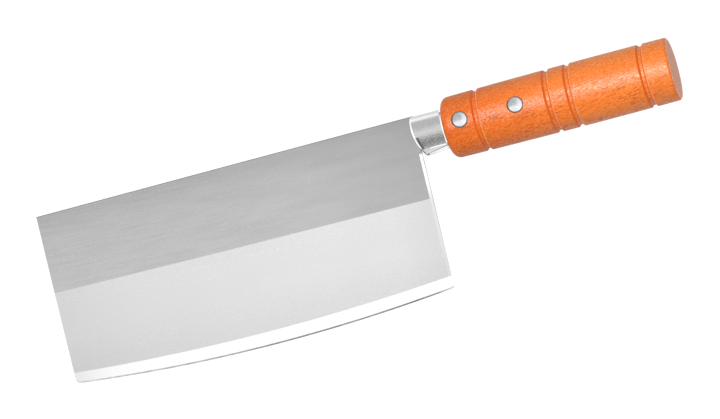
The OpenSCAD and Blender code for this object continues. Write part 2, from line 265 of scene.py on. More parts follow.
class Finish:
    """A procedural material. Its textures lie in the knife's own space, in millimetres."""

    def __init__(self, name, colour, **sockets):
        self.material = bpy.data.materials.new(name)
        self.material.use_nodes = True
        self.nodes, self.links = self.material.node_tree.nodes, self.material.node_tree.links
        self.nodes.clear()
        output = self.nodes.new("ShaderNodeOutputMaterial")
        self.shader = self.nodes.new("ShaderNodeBsdfPrincipled")
        self.links.new(self.shader.outputs[0], output.inputs["Surface"])
        self.shader.inputs["Base Color"].default_value = (*colour, 1)
        for socket, value in sockets.items():
            self.shader.inputs[socket.replace("_", " ")].default_value = value
        self.place = self.nodes.new("ShaderNodeTexCoord").outputs["Object"]

    def put(self, socket, source):
        """Links a source to a socket of the shader."""
        self.links.new(source, self.shader.inputs[socket])

    def set(self, socket, value):
        """Gives a node's socket a source, a colour or a number."""
        if isinstance(value, bpy.types.NodeSocket):
            self.links.new(value, socket)
        else:
            socket.default_value = value

    def node(self, kind, inputs, **settings):
        """A new node, its settings and what goes into its sockets."""
        made = self.nodes.new("ShaderNode" + kind)
        for key, value in settings.items():
            setattr(made, key, value)
        for key, value in inputs.items():
            self.set(made.inputs[key], value)
        return made

    def mapped(self, scale, turn=(0, 0, 0), shift=(0, 0, 0)):
        """Places in millimetres, turned by degrees, shifted to another part of a pattern
        and stretched: scale counts features per millimetre."""
        turned = self.node("Mapping", {"Vector": self.place, "Scale": (1 / MM,) * 3,
                                       "Rotation": [math.radians(a) for a in turn],
                                       "Location": shift}).outputs[0]
        return self.node("VectorMath", {0: turned, 1: scale}, operation="MULTIPLY").outputs[0]

    def noise(self, scale, detail, roughness=0.5, **where):
        """Noise with scale features per millimetre along X, Y and Z."""
        return self.node("TexNoise", {"Vector": self.mapped(scale, **where), "Scale": 1.0,
                                      "Detail": detail, "Roughness": roughness}).outputs["Fac"]

    def rings(self, scale, distortion, detail, detail_scale, **where):
        """Rings round the X axis, scale of them per millimetre."""
        return self.node("TexWave", {"Vector": self.mapped((1, 1, 1), **where), "Scale": scale,
                                     "Distortion": distortion, "Detail": detail,
                                     "Detail Scale": detail_scale},
                         wave_type="RINGS", rings_direction="X").outputs["Fac"]

    def across(self, axis, stretch, *stops):
        """Greys or colours by the place along one axis of the knife."""
        split = self.node("SeparateXYZ", {0: self.place})
        low, high = ((place + ORIGIN["XYZ".index(axis)]) * MM for place in stretch)
        share = self.node("MapRange", {"Value": split.outputs[axis], "From Min": low,
                                       "From Max": high}).outputs[0]
        return self.ramp(share, *stops)

    def ramp(self, factor, *stops):
        """Greys or colours by the factor: stops are (position, colour)."""
        made = self.node("ValToRGB", {"Fac": factor})
        fill_ramp(made.color_ramp, stops)
        return made.outputs["Color"]

    def mix(self, factor, a, b, blend="MIX"):
        """From a to b by the factor. Both are sources or colours."""
        made = self.node("Mix", {MIX_FACTOR: factor}, data_type="RGBA", blend_type=blend)
        for socket, value in ((MIX_A, a), (MIX_B, b)):
            self.set(made.inputs[socket], (*value, 1) if isinstance(value, tuple) else value)
        return made.outputs[MIX_RESULT]

    def times(self, a, b):
        """The product of two colours."""
        return self.mix(1.0, a, b, "MULTIPLY")

    def math(self, operation, a, b):
        """The sum or product of two numbers."""
        return self.node("Math", {0: a, 1: b}, operation=operation).outputs[0]

    def bump(self, height, strength, depth):
        """Normals of a relief that is depth millimetres deep."""
        return self.node("Bump", {"Height": height, "Strength": strength,
                                  "Distance": depth * MM}).outputs[0]


def satin_steel():
    """Lengthwise brushed steel of the blade's flats, with small bright specks. The streaks fade
    towards the heel, and painted shade darkens the flats towards the spine and the heel."""
    f = Finish("steel_satin", (0.58, 0.58, 0.585), Metallic=1.0, Roughness=0.36)
    streak = f.noise((0.06, 2.0, 2.0), detail=4, roughness=0.7, turn=STREAK_TURN)
    grain = f.noise((0.9, 2.4, 2.4), detail=2, roughness=0.6, shift=(4, 1, 7))
    hair = f.math("ADD", f.math("MULTIPLY", streak, 0.6), f.math("MULTIPLY", grain, 0.4))
    cloud = f.noise((0.03, 0.12, 0.12), detail=3)
    tint = f.mix(f.across("X", STREAKS_FADE, (0.0, 0.35), (1.0, 0.75)),
                 f.ramp(hair, (0.33, 0.47), (0.67, 0.69)),
                 f.ramp(cloud, (0.3, 0.54), (0.7, 0.62)))
    speck = f.noise((0.9, 1.1, 1.1), detail=1)
    tint = f.mix(f.ramp(speck, (0.69, 0.0), (0.74, 0.5)), tint, (0.85, 0.85, 0.85))
    # Painted shade: the flats darken towards the spine and towards the heel.
    tone = f.times(f.across("Y", SATIN_HEIGHT, (0.0, 1.0), (0.35, 0.98), (0.7, 0.93),
                            (1.0, 0.845)),
                   f.across("X", SATIN_HEEL, (0.0, 1.0), (1.0, 0.84)))
    f.put("Base Color", f.times(tint, tone))
    f.put("Roughness", f.ramp(hair, (0.3, 0.31), (0.7, 0.41)))
    f.put("Normal", f.bump(hair, 0.2, 0.02))
    return f.material


def matte_steel():
    """Fine ground steel below the grinding line, with small bright specks and painted shading."""
    f = Finish("steel_ground", (0.83, 0.835, 0.84), Metallic=1.0, Roughness=0.5)
    grain = f.noise((1.5, 1.8, 1.8), detail=3, roughness=0.6)
    cloud = f.noise((0.02, 0.05, 0.05), detail=2)
    tint = f.mix(0.4, f.ramp(grain, (0.3, 0.80), (0.7, 0.94)),
                 f.ramp(cloud, (0.3, 0.84), (0.7, 0.89)))
    speck = f.noise((0.9, 1.1, 1.1), detail=1, shift=(5, 2, 6))
    tint = f.mix(f.ramp(speck, (0.71, 0.0), (0.76, 0.8)), tint, (1.0, 1.0, 1.0))
    # Painted shading: lightest a little behind the middle of the blade, darker towards both ends
    # and towards the ground face's lower edge.
    tone = f.times(f.across("X", GROUND_LENGTH, (0.0, 0.86), (0.2, 0.93), (0.4, 0.955),
                            (0.7, 1.0), (0.9, 0.99), (1.0, 0.92)),
                   f.across("Y", GROUND_HEIGHT, (0.0, 0.93), (0.45, 0.985), (1.0, 1.0)))
    f.put("Base Color", f.times(tint, tone))
    f.put("Normal", f.bump(grain, 0.15, 0.01))
    return f.material


def honed_steel():
    """The bright honed band, ground straight across to the edge, with painted shade towards the
    blade's front.
    """
    f = Finish("steel_honed", (0.95, 0.95, 0.955), Metallic=1.0, Roughness=0.22)
    cross = f.noise((9.0, 0.5, 0.5), detail=3)
    # Painted shade: darker towards the blade's front.
    tone = f.across("X", HONED_LENGTH, (0.0, 0.76), (0.3, 0.89), (0.55, 0.94), (0.77, 0.97),
                    (1.0, 1.0))
    f.put("Base Color", f.times(f.ramp(cross, (0.3, 0.90), (0.6, 0.97)), tone))
    f.put("Roughness", f.ramp(cross, (0.3, 0.18), (0.7, 0.30)))
    f.put("Normal", f.bump(cross, 0.12, 0.01))
    return f.material


def ground_edges():
    """Sheared and linished rims of the blade: spine, front, heel and the edge itself. It also
    covers the dark strip beside the spine, which is painted shade.
    """
    f = Finish("steel_rim", (0.33, 0.33, 0.34), Metallic=1.0, Roughness=0.38)
    cross = f.noise((6.0, 6.0, 0.6), detail=3)
    f.put("Base Color", f.ramp(cross, (0.3, 0.22), (0.7, 0.36)))
    f.put("Normal", f.bump(cross, 0.2, 0.02))
    return f.material


def edge_burr_and_shadow():
    """The uneven burr along the cutting edge, with the edge's shadow painted on it, darkest along
    its rear half.
    """
    f = Finish("steel_burr_and_shadow", (0.3, 0.3, 0.31), Metallic=1.0, Roughness=0.38)
    # Painted shadow of the edge, darker in places along its length.
    tone = f.across("X", BURR_AND_SHADOW_LENGTH, (0.0, 0.85), (0.32, 0.6), (0.57, 0.36), (0.69, 0.4),
                    (0.79, 0.42), (0.9, 0.3), (0.96, 0.45), (1.0, 0.9))
    ragged = f.noise((0.35, 0.8, 0.8), detail=4, roughness=0.7)
    f.put("Base Color", f.times(tone, f.ramp(ragged, (0.4, 0.65), (0.6, 1.0))))
    cross = f.noise((6.0, 6.0, 0.6), detail=3)
    f.put("Normal", f.bump(cross, 0.2, 0.02))
    return f.material


def polished_steel():
    """Bright bevels of the heel and the bolster, with painted shade darkening the heel's bevel
    downwards.
    """
    f = Finish("steel_polished", (0.93, 0.93, 0.94), Metallic=1.0, Roughness=0.14)
    # Painted shade: darker down the heel towards the edge.
    f.put("Base Color", f.across("Y", BEVEL_HEIGHT, (0.0, 0.59), (0.45, 0.65), (0.78, 0.66),
                                 (1.0, 0.93)))
    scuff = f.noise((2.0, 2.0, 2.0), detail=4)
    f.put("Roughness", f.ramp(scuff, (0.35, 0.10), (0.75, 0.24)))
    return f.material


def blasted_steel():
    """Grainy sides of the bolster, smoother towards its top."""
    f = Finish("steel_blasted", (0.6, 0.6, 0.61), Metallic=1.0, Roughness=0.27)
    grain = f.noise((1.9, 1.9, 1.9), detail=3, roughness=0.6)
    f.put("Base Color", f.ramp(grain, (0.3, 0.55), (0.7, 0.67)))
    f.put("Roughness", f.ramp(grain, (0.3, 0.22), (0.7, 0.34)))
    lower = f.across("Y", BLASTED_HEIGHT, (0.0, 1.0), (0.5, 0.7), (1.0, 0.05))
    f.put("Normal", f.bump(f.math("MULTIPLY", grain, lower), 0.6, 0.12))
    return f.material


def shade_steel():
    """A dark finish that paints shade: along the foot of the bolster's lower bevels and in bands
    behind its rim on the blade.
    """
    f = Finish("steel_shade", (0.3, 0.3, 0.31), Metallic=1.0, Roughness=0.5)
    grain = f.noise((3.0, 3.0, 3.0), detail=3)
    f.put("Base Color", f.ramp(grain, (0.3, 0.1), (0.7, 0.27)))
    return f.material


def rivet_metal():
    """Smooth rivet heads with soft clouds."""
    f = Finish("rivet_metal", (0.72, 0.73, 0.75), Metallic=1.0, Roughness=0.16)
    cloud = f.noise((0.8, 0.8, 0.8), detail=3)
    f.put("Base Color", f.ramp(cloud, (0.3, (0.66, 0.67, 0.69)), (0.7, (0.78, 0.79, 0.81))))
    f.put("Roughness", f.ramp(cloud, (0.3, 0.12), (0.7, 0.20)))
    return f.material


def rivet_rim_shade():
    """The dark outer ring of the rivets' heads, painted shade of the gap round them."""
    f = Finish("rivet_rim_shade", (0.25, 0.26, 0.28), Metallic=1.0, Roughness=0.35)
    cloud = f.noise((1.5, 1.5, 1.5), detail=2)
    f.put("Base Color", f.ramp(cloud, (0.3, 0.18), (0.7, 0.32)))
    return f.material


def stained_beech():
    """Orange stained beech under clear lacquer: broad tone, growth rings, short dark ray flecks and
    a fine speckle of pores. It is darker at its front, and painted shade darkens it towards both
    sides."""
    f = Finish("beech_side", (0.50, 0.09, 0.003), Roughness=0.6, Coat_Weight=0.5,
               Coat_Roughness=0.34, Coat_IOR=1.5, Specular_IOR_Level=0.05)
    cloud = f.noise((0.018, 0.16, 0.16), detail=3, turn=GRAIN_TURN)
    base = f.ramp(cloud, (0.3, (0.39, 0.061, 0.001)), (0.5, (0.42, 0.071, 0.001)),
                  (0.7, (0.45, 0.084, 0.002)))
    rings = f.rings(0.11, distortion=2.5, detail=3.0, detail_scale=0.25, turn=GRAIN_TURN,
                    shift=(0, 38, 26))
    base = f.mix(f.ramp(rings, (0.1, 0.0), (0.9, 0.30)), base, (0.34, 0.050, 0.001))
    base = f.mix(f.across("X", PALE_LENGTH, (0.0, 0.0), (1.0, 0.65)), base,
                 (0.45, 0.115, 0.010))
    pores = f.noise((0.55, 1.6, 1.6), detail=3, roughness=0.75, turn=GRAIN_TURN)
    base = f.mix(f.ramp(pores, (0.28, 0.35), (0.48, 0.0)), base, (0.28, 0.038, 0.001))
    base = f.mix(f.ramp(pores, (0.52, 0.0), (0.74, 0.65)), base, (0.56, 0.16, 0.016))
    speck = f.noise((0.8, 1.9, 1.9), detail=3, roughness=0.7, turn=GRAIN_TURN, shift=(1, 2, 8))
    base = f.mix(f.ramp(speck, (0.51, 0.0), (0.68, 0.55)), base, (0.49, 0.155, 0.035))
    base = f.mix(f.ramp(speck, (0.34, 0.28), (0.47, 0.0)), base, (0.26, 0.038, 0.001))
    fleck = f.noise((0.12, 2.5, 2.5), detail=2, turn=GRAIN_TURN, shift=(3, 7, 1))
    patch = f.noise((0.05, 0.22, 0.22), detail=1, turn=GRAIN_TURN, shift=(9, 4, 2))
    lower = f.across("Y", FLECK_HEIGHT, (0.0, 1.0), (1.0, 0.2))
    amount = f.math("MULTIPLY", f.ramp(fleck, (0.565, 0.0), (0.60, 1.0)),
                    f.math("MULTIPLY", f.ramp(patch, (0.35, 0.3), (0.6, 1.0)), lower))
    base = f.mix(amount, base, (0.21, 0.033, 0.001))
    # Painted shade: darker towards the handle's top and bottom, where it turns away from the light
    # above.
    painted_side_shade = f.across("Y", WOOD_HEIGHT, (0.0, (0.86, 0.94, 1.0)), (0.2, 1.0), (0.72, 1.0),
                     (1.0, (0.78, 0.93, 1.0)))
    front = f.across("X", FRONT_HALF, (0.0, 0.87), (1.0, 1.0))
    f.put("Base Color", f.times(base, f.times(painted_side_shade, front)))
    f.put("Coat Weight", f.math("MULTIPLY", f.ramp(speck, (0.40, 0.15), (0.60, 0.95)),
                                f.across("X", FRONT_HALF, (0.0, 0.65), (1.0, 1.0))))
    height = f.math("ADD", f.math("MULTIPLY", pores, 0.6), speck)
    f.put("Normal", f.bump(height, 0.5, 0.08))
    f.put("Coat Normal", f.bump(height, 0.8, 0.12))
    return f.material


def end_grain():
    """The butt's brown end grain, with fine rings."""
    f = Finish("beech_end", (0.50, 0.26, 0.17), Roughness=0.7, Specular_IOR_Level=0.2)
    rings = f.rings(0.12, distortion=1.8, detail=2.0, detail_scale=1.0, shift=(0, 6, 90))
    pores = f.noise((1.6, 1.6, 1.6), detail=3, roughness=0.7)
    base = f.ramp(rings, (0.25, (0.38, 0.165, 0.095)), (0.75, (0.57, 0.325, 0.235)))
    f.put("Base Color", f.mix(f.ramp(pores, (0.35, 0.5), (0.6, 0.0)), base, (0.22, 0.08, 0.03)))
    f.put("Normal", f.bump(pores, 0.3, 0.05))
    return f.material


def shaded_beech():
    """Painted shade in the walls of the grooves, on the rounding at the butt and in the rivets'
    counterbores.
    """
    f = Finish("beech_shade", (0.42, 0.065, 0.003), Roughness=0.5, Specular_IOR_Level=0.3)
    pores = f.noise((0.75, 1.5, 1.5), detail=3, roughness=0.75)
    f.put("Base Color", f.ramp(pores, (0.3, (0.32, 0.042, 0.001)), (0.7, (0.46, 0.082, 0.004))))
    f.put("Normal", f.bump(pores, 0.3, 0.05))
    return f.material


def worn_highlit_beech():
    """Pale lips of the grooves and a pale ring round the butt: painted highlights, with some stain
    rubbed off the groove lips.
    """
    f = Finish("beech_worn_highlight", (0.62, 0.33, 0.20), Roughness=0.4, Specular_IOR_Level=0.5)
    pores = f.noise((0.9, 0.9, 0.9), detail=3, roughness=0.75)
    f.put("Base Color", f.ramp(pores, (0.42, (0.42, 0.10, 0.01)), (0.62, (0.47, 0.24, 0.13))))
    f.put("Normal", f.bump(pores, 0.3, 0.05))
    return f.material


SATIN, MATTE, HONED = satin_steel(), matte_steel(), honed_steel()
RIM, BURR_AND_SHADOW, POLISHED = ground_edges(), edge_burr_and_shadow(), polished_steel()
BLASTED, SHADE_STEEL = blasted_steel(), shade_steel()
RIVET, RIVET_RIM_SHADE = rivet_metal(), rivet_rim_shade()
BEECH, END_GRAIN, SHADED_BEECH, WORN_HIGHLIT_BEECH = stained_beech(), end_grain(), shaded_beech(), worn_highlit_beech()


# Blade

# Eased long edges, the dark strip beside the spine, which is painted shade, and the strip along the
# cutting edge, a burr with the edge's shadow painted on it
EASE, SPINE_SHADE, EDGE_BURR_AND_SHADOW = 0.12, 0.4, 0.8
# How far the satin finish runs past the flat, all along and further in the middle
SATIN_STEP, SATIN_SAG = 0.05, 0.3
# The most of the thickness that the heel's bevel takes, as a share, and the least half
# thickness that is left at an eased end
BEVEL_SHARE, THINNEST = 0.45, 0.05
# Rows of points across the flat, and how many there are across the ground face, across
# the honed band and along the blade
FLAT_ROWS = (5.0, 0.0, HEEL_BEVEL_TOP + 0.2, HEEL_BEVEL_TOP, -15.0, -22.0)
GROUND_ROWS, HONED_ROWS, BLADE_COLUMNS = 8, 4, 64
# Turns round the two corners of the cutting edge, in degrees, at which columns stand
FRONT_CORNER_TURNS, HEEL_CORNER_TURNS = range(30, 91, 10), range(0, 71, 10)
# How far the tang is sunk in the blade
TANG_ROOT = 1.5
BLADE_MATERIALS = [SATIN, MATTE, HONED, RIM, POLISHED, BURR_AND_SHADOW]
SLOT_SATIN, SLOT_MATTE, SLOT_HONED, SLOT_RIM, SLOT_POLISHED, SLOT_BURR_AND_SHADOW = range(6)


def along(x):
    """Place along the blade: -1 at its front, 0 in the middle, 1 at the heel."""
    return (x - MIDDLE_X) / (HEEL_X - MIDDLE_X)


def leaned(x, y):
    """Stretches the front half of the blade so that its front edge leans forward."""
    share = max(0.0, min(1.0, (MIDDLE_X - x) / (MIDDLE_X - FRONT_X)))
    return x - FRONT_LEAN * share * max(0.0, (y - END_Y) / BLADE_HEIGHT)


def edge_y(x):
    """The bowed cutting edge, with sharp corners."""
    return END_Y - EDGE_BOW * (1 - along(x) ** 2)


def honed_y(x):
    """Where the honed band begins."""
    width = (HONED_MIDDLE + (HONED_HEEL - HONED_FRONT) / 2 * along(x)
             + ((HONED_HEEL + HONED_FRONT) / 2 - HONED_MIDDLE) * along(x) ** 2)
    return edge_y(x) + width


def flat_y(x):
    """Where the flat ends and the ground face begins."""
    return SPINE - (FLAT_FRONT + FLAT_HEEL) / 2 + (FLAT_FRONT - FLAT_HEEL) / 2 * along(x)


def satin_y(x):
    """Where the satin finish ends: it sags a little below the flat in the middle."""
    return flat_y(x) - SATIN_SAG * (1 - along(x) ** 2) - SATIN_STEP


def outline_y(x):
    """The cutting edge with its two rounded corners."""
    def lift(distance, radius):
        if distance >= radius:
            return 0.0
        return radius - math.sqrt(max(0.0, radius ** 2 - (radius - distance) ** 2))
    return edge_y(x) + lift(x - FRONT_X, FRONT_CORNER) + lift(HEEL_X - x, HEEL_CORNER)


def face_z(x, y):
    """Half the blade's thickness at a place on its side."""
    half, honed, edge = BLADE_THICKNESS / 2, HONED_THICKNESS / 2, EDGE_THICKNESS / 2
    if y >= flat_y(x):
        z = half
    elif y >= honed_y(x):
        z = honed + (half - honed) * (y - honed_y(x)) / (flat_y(x) - honed_y(x))
    else:
        z = edge + (honed - edge) * (y - edge_y(x)) / (honed_y(x) - edge_y(x))
    into = max(0.0, x - (HEEL_X - HEEL_BEVEL)) / HEEL_BEVEL
    if y < HEEL_BEVEL_TOP + NEAR:
        z -= min(HEEL_BEVEL_DEPTH, BEVEL_SHARE * z) * into
    return z


def blade_section(x):
    """(y, z) down the upper face of the blade, with the finish of each step."""
    ends = EASE if x in (FRONT_X, HEEL_X) else 0.0
    ys = [SPINE - EASE, SPINE - SPINE_SHADE, *FLAT_ROWS, flat_y(x), satin_y(x)]
    # The strip beside the spine takes the rim's dark finish as painted shade, and the last strip to
    # the edge takes the burr with its painted shadow.
    marks = [SLOT_RIM] * 2 + [SLOT_SATIN] * (len(ys) - 2)
    ys += spread(satin_y(x), honed_y(x), GROUND_ROWS)[1:]
    marks += [SLOT_MATTE] * GROUND_ROWS
    ys += spread(honed_y(x), outline_y(x) + EDGE_BURR_AND_SHADOW, HONED_ROWS)[1:] + [outline_y(x)]
    marks += [SLOT_HONED] * HONED_ROWS + [SLOT_BURR_AND_SHADOW]
    rows = [(SPINE, BLADE_THICKNESS / 2 - EASE - ends)]
    rows += [(y, max(THINNEST, face_z(x, y) - ends)) for y in ys]
    return rows, marks


def blade_columns():
    """Places along the blade, closer together at its two corners."""
    xs = [FRONT_X, FRONT_X + EASE]
    xs += [FRONT_X + FRONT_CORNER * (1 - math.cos(math.radians(a))) for a in FRONT_CORNER_TURNS]
    xs += spread(FRONT_X + FRONT_CORNER, HEEL_X - 2 * HEEL_CORNER, BLADE_COLUMNS)[1:]
    xs += [HEEL_X - HEEL_CORNER * (1 - math.sin(math.radians(a))) for a in HEEL_CORNER_TURNS]
    xs += [HEEL_X - HEEL_BEVEL, HEEL_X - EASE, HEEL_X]
    return sorted(set(round(x, 4) for x in xs))


def strip_finishes(x, rows, marks):
    """Finishes round the blade between the column at x and the next. The heel's bevel is
    polished down to the honed band."""
    if x >= HEEL_X - HEEL_BEVEL - NEAR:
        marks = [SLOT_POLISHED if y <= HEEL_BEVEL_TOP and mark in (SLOT_SATIN, SLOT_MATTE)
                 else mark for mark, (y, _) in zip(marks, rows)]
    return marks + [SLOT_RIM] + marks[::-1] + [SLOT_RIM]


def make_blade():
    """The blade with its tang, the heel's seat for the bolster and the rivets' holes."""
    xs = blade_columns()
    points, slots = [], []
    for x in xs:
        rows, marks = blade_section(x)
        points += [(leaned(x, y), y, z) for y, z in rows]
        points += [(leaned(x, y), y, -z) for y, z in reversed(rows)]
        if x != xs[-1]:
            slots += strip_finishes(x, rows, marks)
    around = len(points) // len(xs)
    faces = grid_faces(len(xs), around, closed=True)
    faces += [tuple(range(around)), tuple(range(len(points) - around, len(points)))]
    slots += [SLOT_RIM, SLOT_RIM]
    blade = mesh_object("cleaver_blade", points, faces, slots, BLADE_MATERIALS)
    tang = prism("tang", tang_outline(HEEL_X - TANG_ROOT), *TANG_SIDES, BLADE_MATERIALS,
                 SLOT_RIM)
    seat = disc(*END_MIDDLE, END_RADIUS + TANG_GAP, SEAT_STEPS)
    above, below = (TANG_SIDES[1], CUTTER_REACH), (-CUTTER_REACH, TANG_SIDES[0])
    cut(blade, [prism("seat", seat, *side, BLADE_MATERIALS, SLOT_RIM)
                for side in (above, below)])
    cut(blade, [tang], "UNION")
    cut(blade, [prism("hole", disc(x, TANG_RISE, BARREL_RADIUS + BARREL_GAP, BORE_STEPS),
                      -CUTTER_REACH, CUTTER_REACH, BLADE_MATERIALS, SLOT_RIM)
                for x in RIVETS.values()])
    clean(blade)
    return blade


# Bolster

BOLSTER_MATERIALS = [BLASTED, POLISHED, SHADE_STEEL, MATTE]
SIDE_BLASTED, SIDE_POLISHED, SIDE_SHADE, SIDE_MATTE = range(4)
BOLSTER_SHARP = 30.0
# The polished bevel round the end on the blade: its width along the knife, how deep it
# cuts, and at which step it is eased and to which share of that depth
RIM_WIDTH, RIM_DEPTH, RIM_STEP, RIM_EASE = 0.9, 0.45, 0.1, 0.75
# The dark bands behind that rim, painted shade where the rim meets the side: their width along the
# knife and between which heights
SHADE_BAND_WIDTH, SHADE_BANDS = 1.5, ((-6.4, -0.6), (-9.9, -8.0))
# The bevels along the two lower edges: their width down the knife, how far they widen
# towards the blade and over what length
FOOT_BEVEL, FOOT_WIDER, FOOT_RUN = 0.8, 1.7, 14.0
# The bright line along their top: its width and how deep it is sunk. The least of the keel
# that is left below them
FOOT_LINE, FOOT_SINK, KEEL_LEFT = 0.5, 0.2, 0.4
# The bright bevel round the end at the handle
END_BEVEL, END_DEPTH = 1.5, 0.2
# Degrees round the upper edges, rows of points down the sides, shares of the way down the keel, of
# which the first ends the line of painted shade along the crease, and sections along the knife from
# a first step
TOP_TURNS, SIDE_ROWS, KEEL_SHARES = range(0, 73, 8), 18, (0.08, 0.35, 0.65, 0.85, 1.0)
SECTIONS, SECTION_STEP = 14, 0.3
HALVINGS = 40


def side_z(y):
    """Half the bolster's width across its bowed side faces."""
    return BOLSTER_WIDTH / 2 - SIDE_RADIUS + math.sqrt(SIDE_RADIUS ** 2 - (y - BOW_Y) ** 2)


def keel_z(y):
    """Half the bolster's width between its sloping lower faces."""
    tip = BOLSTER_FOOT + KEEL_ROUND
    touch = tip - KEEL_ROUND * math.sin(KEEL_ANGLE)
    if y >= touch:
        return KEEL_ROUND * math.cos(KEEL_ANGLE) + (y - touch) * math.tan(KEEL_ANGLE)
    return math.sqrt(max(0.0, KEEL_ROUND ** 2 - (y - tip) ** 2))


def top_z(y):
    """Half the bolster's width over its rounded upper edges."""
    into = max(0.0, y - (BOLSTER_TOP - TOP_ROUND))
    return BOLSTER_WIDTH / 2 - TOP_ROUND + math.sqrt(max(0.0, TOP_ROUND ** 2 - into ** 2))


def bolster_end(y):
    """Where the bolster's curved end meets the blade at a height."""
    return END_MIDDLE[0] - math.sqrt(END_RADIUS ** 2 - (y - END_MIDDLE[1]) ** 2)


def side_foot():
    """Height at which a side face meets the lower face below it, found by halving."""
    low, high = BOLSTER_FOOT + KEEL_ROUND, BOW_Y
    for _ in range(HALVINGS):
        y = (low + high) / 2
        low, high = (y, high) if keel_z(y) < side_z(y) else (low, y)
    return (low + high) / 2


def bolster_half_section(wider):
    """(y, z) from the middle of the top round the side to the middle of the foot, with
    the finish of each step. wider is how far the lower bevel reaches down."""
    top = [BOLSTER_TOP - TOP_ROUND * (1 - math.cos(math.radians(turn))) for turn in TOP_TURNS]
    bevel_top = side_foot()
    rows = [(BOLSTER_TOP, 0.0), (BOLSTER_TOP, BOLSTER_WIDTH / 4 - TOP_ROUND / 2)]
    rows += [(y, min(top_z(y), side_z(y))) for y in top + spread(top[-1], bevel_top, SIDE_ROWS)[1:]]
    marks = [SIDE_BLASTED] * (len(rows) - 1)
    bevel_foot = max(bevel_top - FOOT_BEVEL - wider, BOLSTER_FOOT + KEEL_LEFT)
    line = FOOT_LINE / (bevel_top - bevel_foot)
    for share, mark in ((line, SIDE_POLISHED), (1.0, SIDE_MATTE)):
        y = bevel_top + (bevel_foot - bevel_top) * share
        z = side_z(bevel_top) + (keel_z(bevel_foot) - side_z(bevel_top)) * share
        rows.append((y, z - FOOT_SINK * (1 - share)))
        marks.append(mark)
    for share in KEEL_SHARES:
        y = bevel_foot + (BOLSTER_FOOT - bevel_foot) * share
        rows.append((y, keel_z(y)))
        # The first step down the keel is painted shade along the crease.
        marks.append(SIDE_SHADE if share == KEEL_SHARES[0] else SIDE_POLISHED)
    return rows, marks


def make_bolster():
    """The bolster: sections from its curved end on the blade to the handle, less the
    tang's slot and the slit that takes the heel."""
    start, middle = bolster_end(END_MIDDLE[1]), (BOLSTER_TOP + BOLSTER_FOOT) / 2
    rim_end, shade_band_end = RIM_WIDTH, RIM_WIDTH + SHADE_BAND_WIDTH
    steps = [0.0, RIM_STEP, rim_end, shade_band_end]
    steps += spread(shade_band_end + SECTION_STEP, -start - END_BEVEL, SECTIONS) + [-start]
    insets = {0.0: RIM_DEPTH, RIM_STEP: RIM_DEPTH * RIM_EASE, -start: END_DEPTH}
    points, slots = [], []
    for step, after in zip(steps, steps[1:] + [None]):
        behind = max(0.0, step - RIM_WIDTH)
        rows, marks = bolster_half_section(FOOT_WIDER * max(0.0, 1 - behind / FOOT_RUN))
        inset = insets.get(step, 0.0)
        narrow, lower = 1 - inset / (BOLSTER_WIDTH / 2), 1 - inset / (BOLSTER_HEIGHT / 2)
        for y, z in rows + [(y, -z) for y, z in rows[-2:0:-1]]:
            end = bolster_end(y)
            x = end + min(step, RIM_WIDTH) + (-end - RIM_WIDTH) * behind / (-start - RIM_WIDTH)
            points.append((x, middle + (y - middle) * lower, z * narrow))
        if step < rim_end or after == -start:
            marks = [SIDE_POLISHED] * len(marks)
        elif step == rim_end:
            # Bands of painted shade just behind the rim.
            marks = [SIDE_SHADE if any(low < y < high for low, high in SHADE_BANDS) else mark
                     for mark, (y, _) in zip(marks, rows)]
        if after is not None:
            slots += marks + marks[::-1]
    columns = len(points) // len(steps)
    faces = grid_faces(len(steps), columns, closed=True)
    faces += [tuple(range(columns)), tuple(range(len(points) - columns, len(points)))]
    slots += [SIDE_POLISHED, SIDE_POLISHED]
    bolster = mesh_object("cleaver_bolster", points, faces, slots, BOLSTER_MATERIALS)
    heel = [(-CUTTER_REACH, -CUTTER_REACH), (HEEL_X, -CUTTER_REACH), (HEEL_X, CUTTER_REACH),
            (-CUTTER_REACH, CUTTER_REACH)]
    cut(bolster, [prism("slot", outline, *TANG_SLOT_SIDES, BOLSTER_MATERIALS, SIDE_POLISHED)
                  for outline in (tang_outline(-CUTTER_REACH, TANG_GAP), heel)])
    clean(bolster, BOLSTER_SHARP)
    return bolster


# Handle

HANDLE_MATERIALS = [BEECH, END_GRAIN, SHADED_BEECH, WORN_HIGHLIT_BEECH]
WOOD_SIDE, WOOD_END, WOOD_SHADE, WOOD_WORN_HIGHLIGHT = range(4)
HANDLE_SHARP, HANDLE_SEGMENTS = 40.0, 160
# Share of half a groove's width that its wall takes
GROOVE_WALL = 0.66
# Across a groove, from its front lip at -1 to its rear lip at 1: where each finish ends
# The groove's walls take painted shade and its rear lip a painted highlight.
GROOVE_FINISHES = ((-0.55, WOOD_SHADE), (0.3, WOOD_SIDE), (0.6, WOOD_SHADE), (1.0, WOOD_WORN_HIGHLIGHT))
# By steps of the profile from the start of the butt's rounding: where each finish ends
# Round the butt: a line of painted shade, then a painted highlight, before the end grain.
BUTT_FINISHES = ((2, WOOD_SIDE), (4, WOOD_SHADE), (8, WOOD_WORN_HIGHLIGHT), (math.inf, WOOD_END))
# Radii of the rings on the front face, turns in degrees round its edge and the butt's, and
# steps along the side, across a groove and over the butt's dome
FACE_RINGS = (0.0, 4.0, 8.0)
FACE_TURNS, BUTT_TURNS = range(0, 90, 9), range(10, 91, 10)
SIDE_STEPS, GROOVE_STEPS, BUTT_STEPS = 90, 26, 10


def barrel_radius(x):
    """The handle's radius at x, without its grooves."""
    return HANDLE_RADIUS - TAPER * ((x - WIDEST) / WIDEST) ** 2


def groove_cut(x):
    """Depth of the groove at x: a flat floor, steep walls and eased lips."""
    half = GROOVE_WIDTH / 2
    away = min(abs(x - place) for place in GROOVES)
    if away >= half:
        return 0.0
    s = min(1.0, (half - away) / (half * GROOVE_WALL))
    return GROOVE_DEPTH * s * s * (3 - 2 * s)


